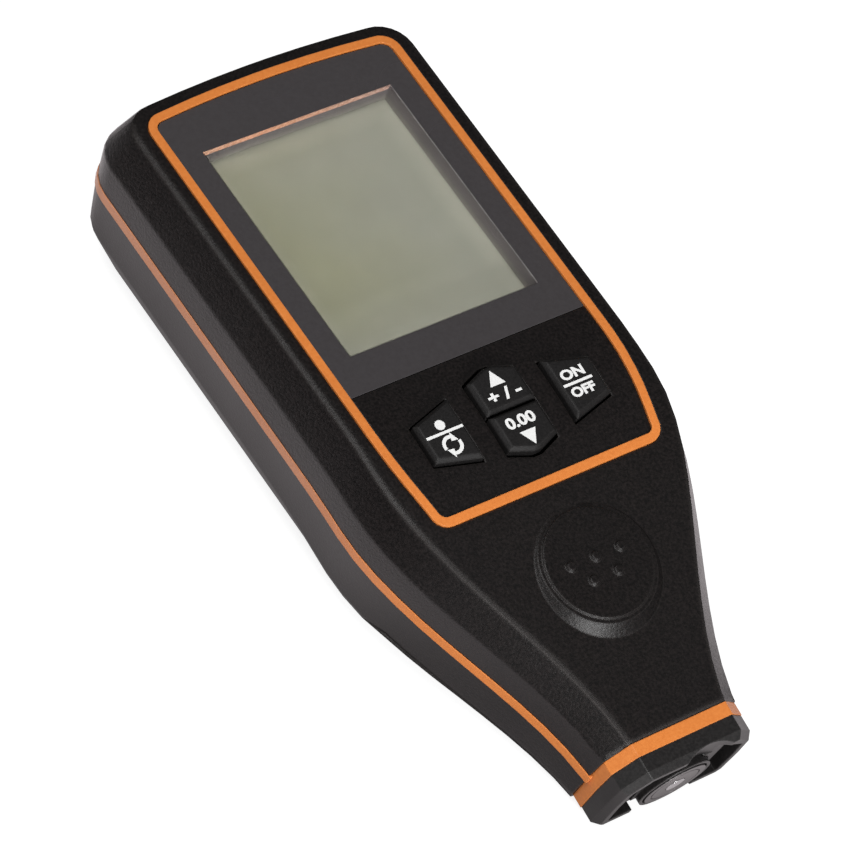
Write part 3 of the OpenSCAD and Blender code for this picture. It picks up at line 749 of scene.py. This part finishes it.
def arc_arrow(start):
    """Bent arrow that turns clockwise from start, in degrees: a band with a pointed end."""
    steps = 14
    end = start - CYCLE_SWEEP
    turns = [start - CYCLE_SWEEP * k / steps for k in range(steps + 1)]
    outer = [polar(CYCLE_AT, CYCLE_R + CYCLE_T / 2, a) for a in turns]
    inner = [polar(CYCLE_AT, CYCLE_R - CYCLE_T / 2, a) for a in turns]
    barb = CYCLE_T * CYCLE_BARB
    point = [polar(CYCLE_AT, CYCLE_R + barb, end), polar(CYCLE_AT, CYCLE_R, end - CYCLE_HEAD),
             polar(CYCLE_AT, CYCLE_R - barb, end)]
    return outer + point + inner[::-1]


legend_shape("legend_up_sign", triangle(UP_SIGN_AT, UP_SIGN_W, UP_SIGN_H), "up_key")
legend_word("legend_up_mark", "+ / -", UP_MARK_AT, UP_MARK_SIZE, UP_MARK_WIDE, "up_key")
legend_word("legend_down_mark", "0.00", DOWN_MARK_AT, DOWN_MARK_SIZE, DOWN_MARK_WIDE, "down_key")
legend_shape("legend_down_sign", triangle(DOWN_SIGN_AT, DOWN_SIGN_W, DOWN_SIGN_H), "down_key")
legend_word("legend_on", "ON", ON_AT, ON_SIZE, ON_WIDE, "set_key")
legend_shape("legend_on_bar", bar(ON_RULE_AT, ON_RULE_W, RULE_T), "set_key")
legend_word("legend_off", "OFF", OFF_AT, OFF_SIZE, OFF_WIDE, "set_key")
legend_shape("legend_dot", disc(DOT_AT, DOT_R), "record_key")
legend_shape("legend_dot_bar", bar(DOT_RULE_AT, DOT_RULE_W, RULE_T), "record_key")
legend_shape("legend_cycle_a", arc_arrow(195), "record_key")
legend_shape("legend_cycle_b", arc_arrow(15), "record_key")


# Floor

FLOOR_HALF = 4.0
FLOOR_Z = -0.0004
FLOOR_GREY = (0.4, 0.4, 0.4)
FLOOR_SEEN_GLOW = 0.82
FLOOR_NEAR_GLOW = 1.75
FLOOR_MIRRORED_TONE = 0.2
FOOT_HW, FOOT_HL, NEAR_REACH = 27.0, 60.0, 120.0
NEAR_STOPS = [(0.0, (0.25, 0.25, 0.25)), (0.14, (1.0, 1.0, 1.0)),
              (0.24, (0.8, 0.8, 0.8)), (0.42, (0.0, 0.0, 0.0))]
PLAIN_WHITE, WARM_WHITE = (1.0, 1.0, 1.0), (1.0, 0.92, 0.94)


def floor_material():
    """White sheet: bright to the eye, and mirrored as white only close to the object."""
    m = Mat("floor_white")
    base = m.ramp(m.noise(40.0), [(0.2, toned(FLOOR_GREY, 0.99)), (0.8, FLOOR_GREY)])
    rays = m.node("ShaderNodeLightPath").outputs
    mirrored_grey = toned(FLOOR_GREY, FLOOR_MIRRORED_TONE)
    m.feed("Base Color", m.mix(rays["Is Glossy Ray"], base, mirrored_grey))
    m.fix("Roughness", 0.9)
    m.fix("Specular IOR Level", 0.0)
    x, y, _ = m.axes()
    side = m.math("SUBTRACT", m.math("ABSOLUTE", x), FOOT_HW)
    ends = m.math("SUBTRACT", m.math("ABSOLUTE", y), FOOT_HL)
    away = m.span(m.math("MAXIMUM", side, ends), 0.0, 1.0, 0.0, NEAR_REACH)
    near = m.math("MULTIPLY", m.ramp(away, NEAR_STOPS), FLOOR_NEAR_GLOW)
    seen = m.math("MAXIMUM", rays["Is Camera Ray"], rays["Is Transmission Ray"])
    mirrored = m.math("MULTIPLY", rays["Is Glossy Ray"], near)
    emit = m.node("ShaderNodeEmission")
    m.link(m.mix(rays["Is Glossy Ray"], PLAIN_WHITE, WARM_WHITE), emit.inputs["Color"])
    m.link(m.math("MULTIPLY_ADD", seen, FLOOR_SEEN_GLOW, mirrored), emit.inputs["Strength"])
    add = m.node("ShaderNodeAddShader")
    m.link(m.bsdf.outputs[0], add.inputs[0])
    m.link(emit.outputs[0], add.inputs[1])
    m.link(add.outputs[0], m.out.inputs[0])
    return m.mat


floor_mesh = bpy.data.meshes.new("floor")
bm = bmesh.new()
bmesh.ops.create_grid(bm, x_segments=1, y_segments=1, size=FLOOR_HALF)
bm.to_mesh(floor_mesh)
bm.free()
floor_mesh.materials.append(floor_material())
floor = bpy.data.objects.new("floor", floor_mesh)
floor.location = (0, 0, FLOOR_Z)
bpy.context.scene.collection.objects.link(floor)


# Light: a dim room, brighter toward the chin's side, and two soft boxes

ROOM_DIM, ROOM_LIT = (0.1, 0.1, 0.1, 1), (0.3, 0.3, 0.3, 1)
ROOM_DIM_Y, ROOM_LIT_Y = 0.15, -0.3
LAMP_AIM = (0, 0, 0.01)
LAMPS = {
    "key_light": {"pos": (-0.22, -1.1, 0.5), "size": (0.6, 0.3), "power": 11.0},
    "top_light": {"pos": (-0.45, 0.12, 1.1), "size": (0.8, 0.4), "power": 6.7},
}

world = bpy.data.worlds.new("studio")
bpy.context.scene.world = world
world.use_nodes = True
room = world.node_tree
room.nodes.clear()
room_out = room.nodes.new("ShaderNodeOutputWorld")
room_light = room.nodes.new("ShaderNodeBackground")
room_light.inputs["Strength"].default_value = 1.0
room_co = room.nodes.new("ShaderNodeTexCoord")
room_axes = room.nodes.new("ShaderNodeSeparateXYZ")
room_side = room.nodes.new("ShaderNodeMapRange")
room_side.inputs["From Min"].default_value = ROOM_DIM_Y
room_side.inputs["From Max"].default_value = ROOM_LIT_Y
room_ramp = room.nodes.new("ShaderNodeValToRGB")
room_ramp.color_ramp.elements[0].color = ROOM_DIM
room_ramp.color_ramp.elements[1].color = ROOM_LIT
room.links.new(room_co.outputs["Generated"], room_axes.inputs[0])
room.links.new(room_axes.outputs[1], room_side.inputs["Value"])
room.links.new(room_side.outputs[0], room_ramp.inputs[0])
room.links.new(room_ramp.outputs[0], room_light.inputs["Color"])
room.links.new(room_light.outputs[0], room_out.inputs[0])


def soft_box(name, pos, size, power):
    lamp = bpy.data.lights.new(name, "AREA")
    lamp.shape = "RECTANGLE"
    lamp.size, lamp.size_y = size
    lamp.energy = power
    obj = bpy.data.objects.new(name, lamp)
    obj.location = pos
    toward = Vector(LAMP_AIM) - Vector(pos)
    obj.rotation_euler = toward.to_track_quat("-Z", "Y").to_euler()
    bpy.context.scene.collection.objects.link(obj)


for name, lamp in LAMPS.items():
    soft_box(name, **lamp)


# Camera, fitted to the photograph: its axes, and its place in millimetres

CAM_RIGHT = (0.79816, -0.54372, 0.25943)
CAM_UP = (0.32508, 0.75127, 0.57441)
CAM_BACK = (-0.50722, -0.37413, 0.77638)
CAM_PLACE = Vector((-360.75, -289.72 + SHIFT_Y, 532.16 + BODY_T)) * MM
CAM_SENSOR = 36.0
CAM_FOCAL = 211.765

cam = bpy.data.cameras.new("camera")
cam.sensor_fit = "HORIZONTAL"
cam.sensor_width = CAM_SENSOR
cam.lens = CAM_FOCAL
cam.clip_start = 0.01
cam.clip_end = 20.0
cam_obj = bpy.data.objects.new("camera", cam)
columns = [axis + (0,) for axis in (CAM_RIGHT, CAM_UP, CAM_BACK)] + [tuple(CAM_PLACE) + (1,)]
cam_obj.matrix_world = Matrix(columns).transposed()
bpy.context.scene.collection.objects.link(cam_obj)
bpy.context.scene.camera = cam_obj

bpy.context.scene.view_settings.view_transform = "Standard"

bpy.context.view_layer.update()
